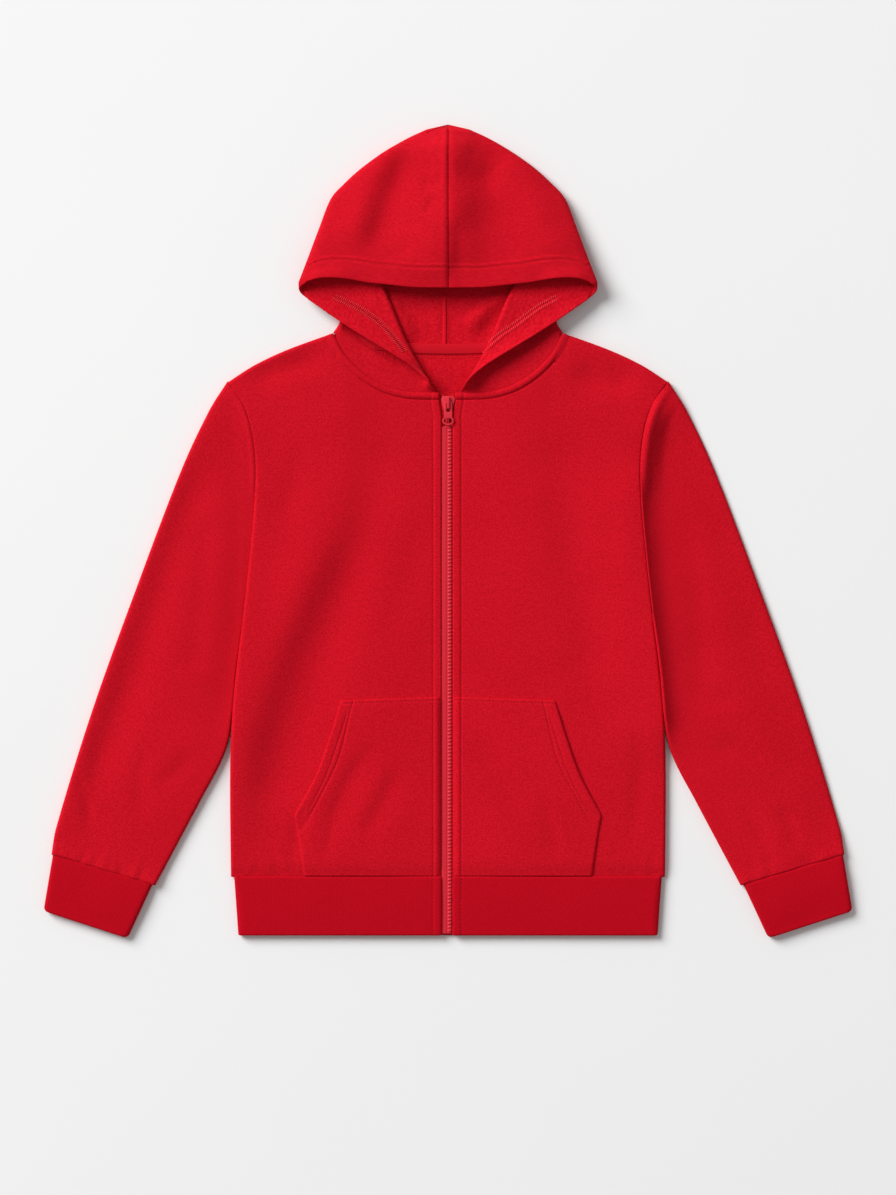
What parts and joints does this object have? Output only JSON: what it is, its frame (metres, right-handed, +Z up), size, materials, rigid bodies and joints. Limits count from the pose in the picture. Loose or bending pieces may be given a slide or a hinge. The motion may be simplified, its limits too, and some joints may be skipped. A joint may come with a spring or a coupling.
{
  "type": "kids hoodie",
  "caption": "Child's hooded sweatshirt with a full-length front zip, patch pockets, ribbed cuffs and hem, laid flat on its back.",
  "frame": {"origin": "on the surface that the garment lies on, under the middle of its outline", "axes": "+Y from the hem towards the top of the hood, +X towards the wearer's left, +Z up from the surface"},
  "size_m": [0.711, 0.7144, 0.0204],
  "materials": {
    "sweatshirt_knit": "red brushed sweatshirt knit, matt",
    "rib_knit": "red fine rib knit, matt",
    "woven_tape": "red woven tape",
    "zip_plastic": "red moulded teeth, satin",
    "zip_metal": "red enamel, satin"
  },
  "bodies": {
    "garment": {"back_panel": "sweatshirt_knit", "front_right": "sweatshirt_knit", "front_left": "sweatshirt_knit", "sleeve_right": "sweatshirt_knit", "sleeve_left": "sweatshirt_knit", "hood_right": "sweatshirt_knit", "hood_left": "sweatshirt_knit", "pocket_right": "sweatshirt_knit", "pocket_left": "sweatshirt_knit", "cuff_right": "rib_knit", "cuff_left": "rib_knit", "hem_rib": "rib_knit", "neck_tape": "woven_tape", "zip_tape_right": "woven_tape", "zip_tape_left": "woven_tape", "zip_chain": "zip_plastic", "zip_slider": "zip_metal"},
    "pull_tab": {"zip_pull": "zip_metal"}
  },
  "joints": [
    {"name": "pull_tab_hinge", "type": "hinge", "parent": "garment", "child": "pull_tab", "pos_m": [0, 0.1126, 0.0073], "axis": [-1, 0, 0], "range_deg": [0, 160]}
  ]
}
